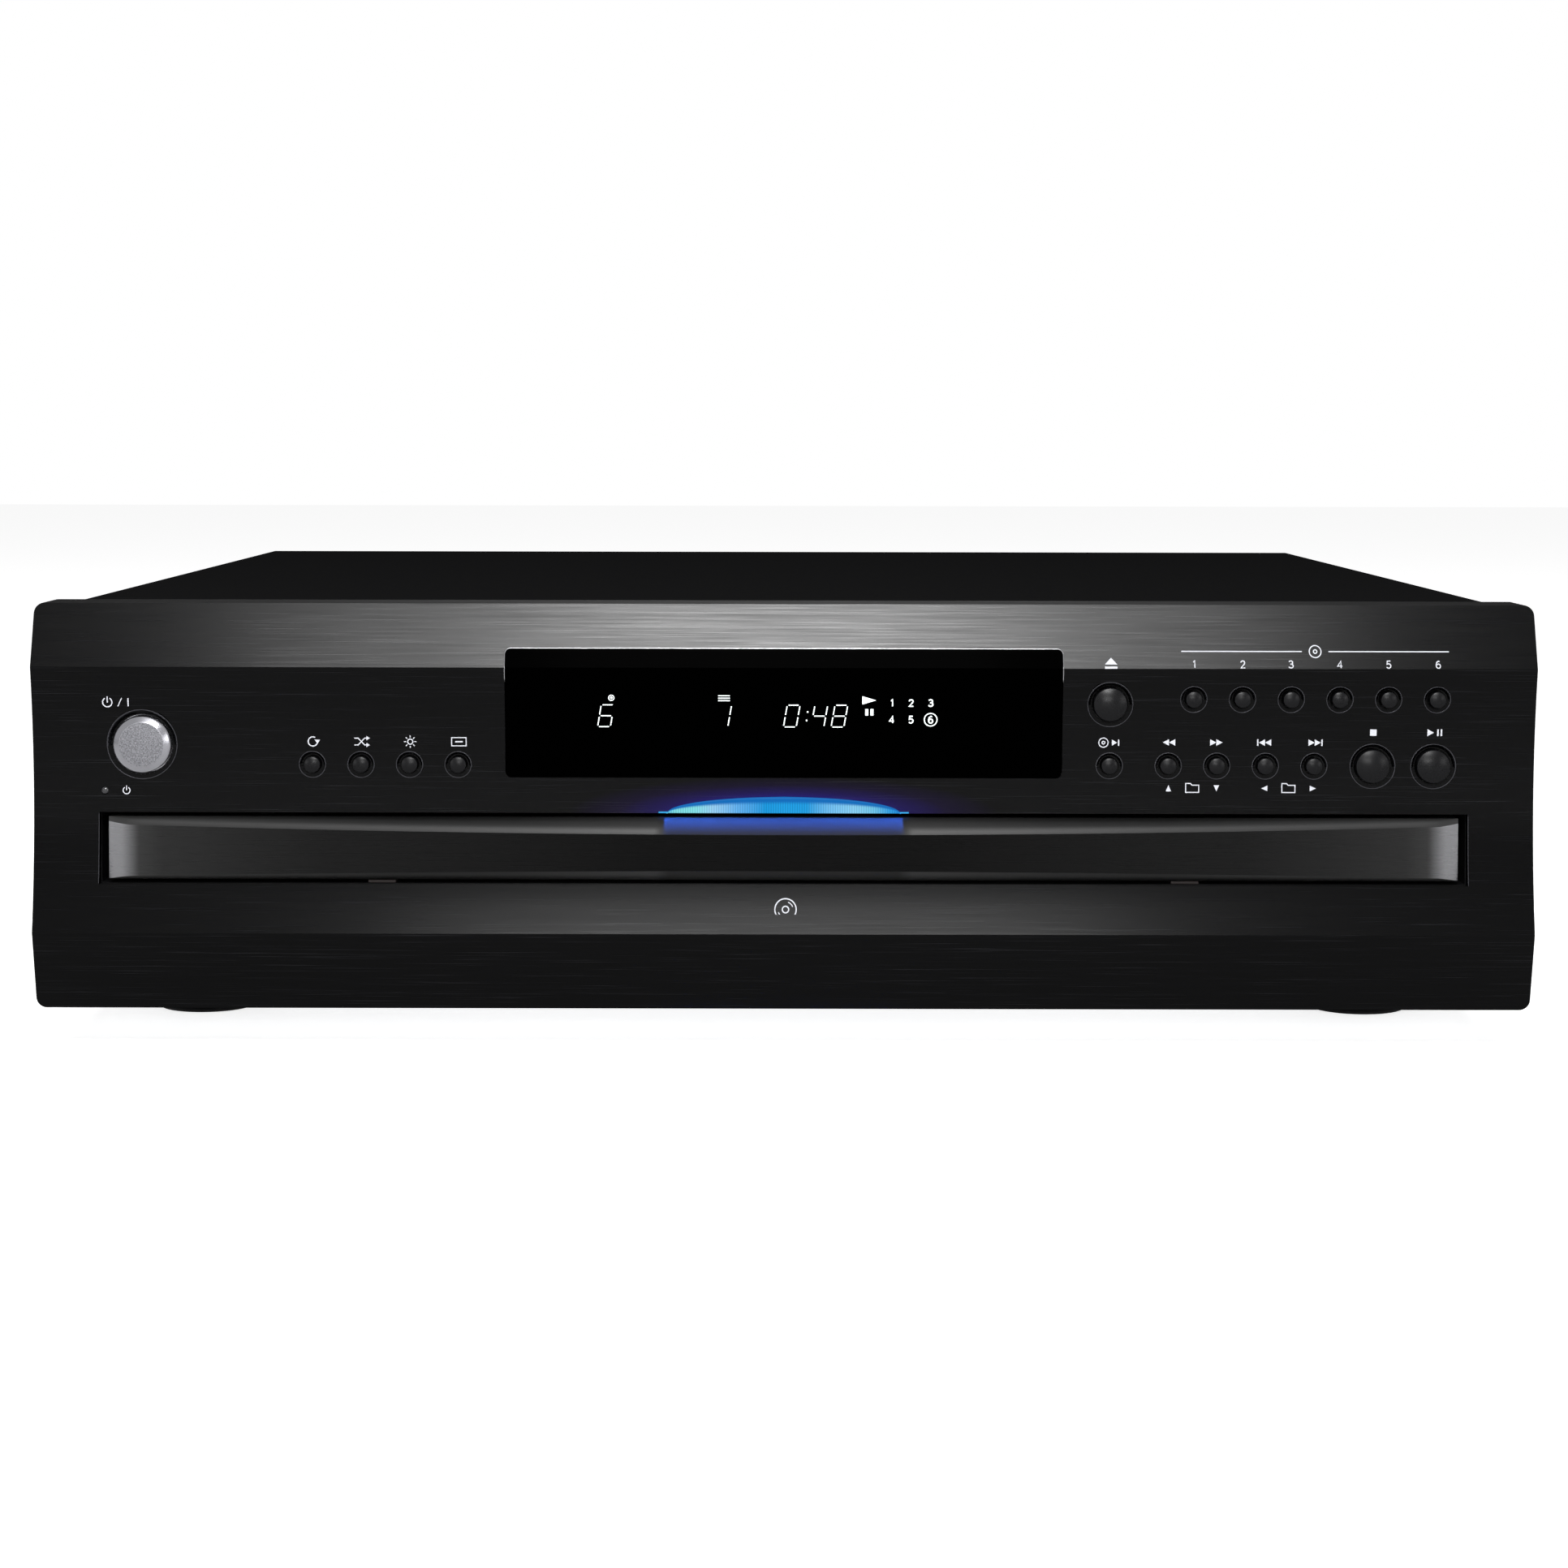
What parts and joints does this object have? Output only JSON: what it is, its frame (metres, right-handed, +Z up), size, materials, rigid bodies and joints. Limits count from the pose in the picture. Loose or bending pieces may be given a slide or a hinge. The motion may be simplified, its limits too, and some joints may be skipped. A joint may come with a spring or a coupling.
{
  "type": "cd changer",
  "caption": "Full-width carousel disc changer: creased brushed front panel, bowed drawer with a turning disc carrier, liftable pickup with clamper, push buttons and a lit display.",
  "frame": {"origin": "centre of the outline seen from above, on the surface that the feet stand on", "axes": "+X to the right as seen from the front, +Y to the back, +Z up"},
  "size_m": [0.435, 0.433, 0.131],
  "materials": {
    "black_aluminium": "brushed and black anodised",
    "black_paint": "fine matte powder coat",
    "grey_plastic": "moulded",
    "satin_black": "satin",
    "window": "clear tinted, polished",
    "blue_light": "frosted and lit from behind",
    "tube_glass": "sealed tube",
    "silver_aluminium": "bead blasted with a turned edge",
    "button_black": "satin",
    "zinc": "zinc plated",
    "black_screw": "black zinc",
    "board": "laminated board",
    "core": "laminated",
    "gold": "plated",
    "black_plastic": "moulded",
    "white_plastic": "moulded acetal",
    "motor_can": "nickel plated",
    "rubber": "soft",
    "steel": "ground"
  },
  "bodies": {
    "root": {"fascia": "black_aluminium", "sub_panel": "black_plastic", "display_window": "window", "display_tube": "tube_glass", "front_board": "board", "light_bar": "blue_light", "top_cover": "black_paint", "chassis_base": "zinc", "rear_panel": "black_paint", "feet": "black_plastic", "foot_pads": "rubber", "screws": "black_screw", "transformer": "core", "main_board": "board", "output_jacks": "gold", "ac_inlet": "black_plastic", "guide_rail_left": "grey_plastic", "guide_rail_right": "grey_plastic", "loading_motor": "motor_can", "lift_tower": "grey_plastic", "lift_motor": "motor_can", "clamper_arm": "zinc"},
    "drawer": {"drawer_tray": "grey_plastic", "tray_front": "satin_black", "carousel_motor": "motor_can", "carousel_belt": "rubber", "hub_cap": "grey_plastic"},
    "carousel": {"carousel": "grey_plastic"},
    "carousel_gear": {"carousel_gear": "white_plastic"},
    "carousel_motor_pulley": {"carousel_motor_pulley": "white_plastic"},
    "loading_idler": {"loading_idler": "white_plastic"},
    "loading_gear": {"loading_gear": "white_plastic"},
    "loading_motor_pinion": {"loading_motor_pinion": "white_plastic"},
    "turntable": {"turntable": "black_plastic"},
    "laser_sled": {"laser_sled": "black_plastic"},
    "cam_slider": {"cam_slider": "white_plastic"},
    "lift_gear": {"lift_gear": "white_plastic"},
    "clamper": {"clamper": "white_plastic"},
    "pickup": {"pickup_frame": "grey_plastic", "spindle_motor": "motor_can", "guide_rods": "steel"},
    "power_button": {"power_button": "silver_aluminium"},
    "repeat_button": {"repeat_button": "button_black"},
    "random_button": {"random_button": "button_black"},
    "dimmer_button": {"dimmer_button": "button_black"},
    "display_button": {"display_button": "button_black"},
    "seek_back_button": {"seek_back_button": "button_black"},
    "seek_forward_button": {"seek_forward_button": "button_black"},
    "skip_back_button": {"skip_back_button": "button_black"},
    "skip_forward_button": {"skip_forward_button": "button_black"},
    "disc_1_button": {"disc_1_button": "button_black"},
    "disc_2_button": {"disc_2_button": "button_black"},
    "disc_3_button": {"disc_3_button": "button_black"},
    "disc_4_button": {"disc_4_button": "button_black"},
    "disc_5_button": {"disc_5_button": "button_black"},
    "disc_6_button": {"disc_6_button": "button_black"},
    "disc_skip_button": {"disc_skip_button": "button_black"},
    "open_close_button": {"open_close_button": "button_black"},
    "stop_button": {"stop_button": "button_black"},
    "play_pause_button": {"play_pause_button": "button_black"}
  },
  "joints": [
    {"name": "drawer_slide", "type": "slide", "parent": "root", "child": "drawer", "axis": [0, -1, 0], "range_m": [0, 0.25]},
    {"name": "carousel_spin", "type": "hinge", "parent": "drawer", "child": "carousel", "pos_m": [0, -0.009, 0.058], "axis": [0, 0, 1], "continuous": true},
    {"name": "carousel_gear_turn", "type": "hinge", "parent": "drawer", "child": "carousel_gear", "pos_m": [0.0594, 0.0504, 0.0554], "axis": [0, 0, 1], "continuous": true},
    {"name": "motor_pulley_turn", "type": "hinge", "parent": "drawer", "child": "carousel_motor_pulley", "pos_m": [0.165, 0.15, 0.0519], "axis": [0, 0, 1], "continuous": true},
    {"name": "idler_turn", "type": "hinge", "parent": "root", "child": "loading_idler", "pos_m": [-0.184, -0.17, 0.0393], "axis": [1, 0, 0], "range_deg": [-0.5, 1194.16]},
    {"name": "loading_gear_turn", "type": "hinge", "parent": "root", "child": "loading_gear", "pos_m": [-0.1865, -0.15257, 0.0295], "axis": [1, 0, 0], "range_deg": [-1790.99, 0.5]},
    {"name": "motor_pinion_turn", "type": "hinge", "parent": "root", "child": "loading_motor_pinion", "pos_m": [-0.1895, -0.13457, 0.0295], "axis": [1, 0, 0], "range_deg": [-0.5, 4655.78]},
    {"name": "pickup_lift", "type": "slide", "parent": "root", "child": "pickup", "axis": [0, 0, 1], "range_m": [0, 0.024]},
    {"name": "cam_slide", "type": "slide", "parent": "root", "child": "cam_slider", "axis": [-1, 0, 0], "range_m": [-0.0001, 0.0241]},
    {"name": "lift_gear_turn", "type": "hinge", "parent": "root", "child": "lift_gear", "pos_m": [0.06, 0.0882, 0.0303], "axis": [0, 1, 0], "range_deg": [-0.5, 153.29]},
    {"name": "spindle_spin", "type": "hinge", "parent": "pickup", "child": "turntable", "pos_m": [0, 0.114, 0.0475], "axis": [0, 0, 1], "continuous": true},
    {"name": "laser_travel", "type": "slide", "parent": "pickup", "child": "laser_sled", "axis": [0, 1, 0], "range_m": [0, 0.03]},
    {"name": "clamper_spin", "type": "hinge", "parent": "root", "child": "clamper", "pos_m": [0, 0.114, 0.073], "axis": [0, 0, 1], "continuous": true},
    {"name": "power_press", "type": "slide", "parent": "root", "child": "power_button", "axis": [0, 1, 0], "range_m": [0, 0.001], "stiffness_N_per_m": 250, "springref_m": -0.001},
    {"name": "repeat_press", "type": "slide", "parent": "root", "child": "repeat_button", "axis": [0, 1, 0], "range_m": [0, 0.001], "stiffness_N_per_m": 250, "springref_m": -0.001},
    {"name": "random_press", "type": "slide", "parent": "root", "child": "random_button", "axis": [0, 1, 0], "range_m": [0, 0.001], "stiffness_N_per_m": 250, "springref_m": -0.001},
    {"name": "dimmer_press", "type": "slide", "parent": "root", "child": "dimmer_button", "axis": [0, 1, 0], "range_m": [0, 0.001], "stiffness_N_per_m": 250, "springref_m": -0.001},
    {"name": "display_press", "type": "slide", "parent": "root", "child": "display_button", "axis": [0, 1, 0], "range_m": [0, 0.001], "stiffness_N_per_m": 250, "springref_m": -0.001},
    {"name": "seek_back_press", "type": "slide", "parent": "root", "child": "seek_back_button", "axis": [0, 1, 0], "range_m": [0, 0.001], "stiffness_N_per_m": 250, "springref_m": -0.001},
    {"name": "seek_forward_press", "type": "slide", "parent": "root", "child": "seek_forward_button", "axis": [0, 1, 0], "range_m": [0, 0.001], "stiffness_N_per_m": 250, "springref_m": -0.001},
    {"name": "skip_back_press", "type": "slide", "parent": "root", "child": "skip_back_button", "axis": [0, 1, 0], "range_m": [0, 0.001], "stiffness_N_per_m": 250, "springref_m": -0.001},
    {"name": "skip_forward_press", "type": "slide", "parent": "root", "child": "skip_forward_button", "axis": [0, 1, 0], "range_m": [0, 0.001], "stiffness_N_per_m": 250, "springref_m": -0.001},
    {"name": "disc_1_press", "type": "slide", "parent": "root", "child": "disc_1_button", "axis": [0, 1, 0], "range_m": [0, 0.001], "stiffness_N_per_m": 250, "springref_m": -0.001},
    {"name": "disc_2_press", "type": "slide", "parent": "root", "child": "disc_2_button", "axis": [0, 1, 0], "range_m": [0, 0.001], "stiffness_N_per_m": 250, "springref_m": -0.001},
    {"name": "disc_3_press", "type": "slide", "parent": "root", "child": "disc_3_button", "axis": [0, 1, 0], "range_m": [0, 0.001], "stiffness_N_per_m": 250, "springref_m": -0.001},
    {"name": "disc_4_press", "type": "slide", "parent": "root", "child": "disc_4_button", "axis": [0, 1, 0], "range_m": [0, 0.001], "stiffness_N_per_m": 250, "springref_m": -0.001},
    {"name": "disc_5_press", "type": "slide", "parent": "root", "child": "disc_5_button", "axis": [0, 1, 0], "range_m": [0, 0.001], "stiffness_N_per_m": 250, "springref_m": -0.001},
    {"name": "disc_6_press", "type": "slide", "parent": "root", "child": "disc_6_button", "axis": [0, 1, 0], "range_m": [0, 0.001], "stiffness_N_per_m": 250, "springref_m": -0.001},
    {"name": "disc_skip_press", "type": "slide", "parent": "root", "child": "disc_skip_button", "axis": [0, 1, 0], "range_m": [0, 0.001], "stiffness_N_per_m": 250, "springref_m": -0.001},
    {"name": "open_close_press", "type": "slide", "parent": "root", "child": "open_close_button", "axis": [0, 1, 0], "range_m": [0, 0.001], "stiffness_N_per_m": 250, "springref_m": -0.001},
    {"name": "stop_press", "type": "slide", "parent": "root", "child": "stop_button", "axis": [0, 1, 0], "range_m": [0, 0.001], "stiffness_N_per_m": 250, "springref_m": -0.001},
    {"name": "play_pause_press", "type": "slide", "parent": "root", "child": "play_pause_button", "axis": [0, 1, 0], "range_m": [0, 0.001], "stiffness_N_per_m": 250, "springref_m": -0.001}
  ],
  "couplings": [
    {"joint": "carousel_gear_turn", "follows": "carousel_spin", "ratio": -6},
    {"joint": "motor_pulley_turn", "follows": "carousel_spin", "ratio": -19.5},
    {"joint": "idler_turn", "follows": "drawer_slide", "rad_per_m": 83.333},
    {"joint": "loading_gear_turn", "follows": "drawer_slide", "rad_per_m": -125},
    {"joint": "motor_pinion_turn", "follows": "drawer_slide", "rad_per_m": 325},
    {"joint": "cam_slide", "follows": "pickup_lift", "ratio": 1},
    {"joint": "lift_gear_turn", "follows": "pickup_lift", "rad_per_m": 111.11},
    {"joint": "clamper_spin", "follows": "spindle_spin", "ratio": 1}
  ]
}
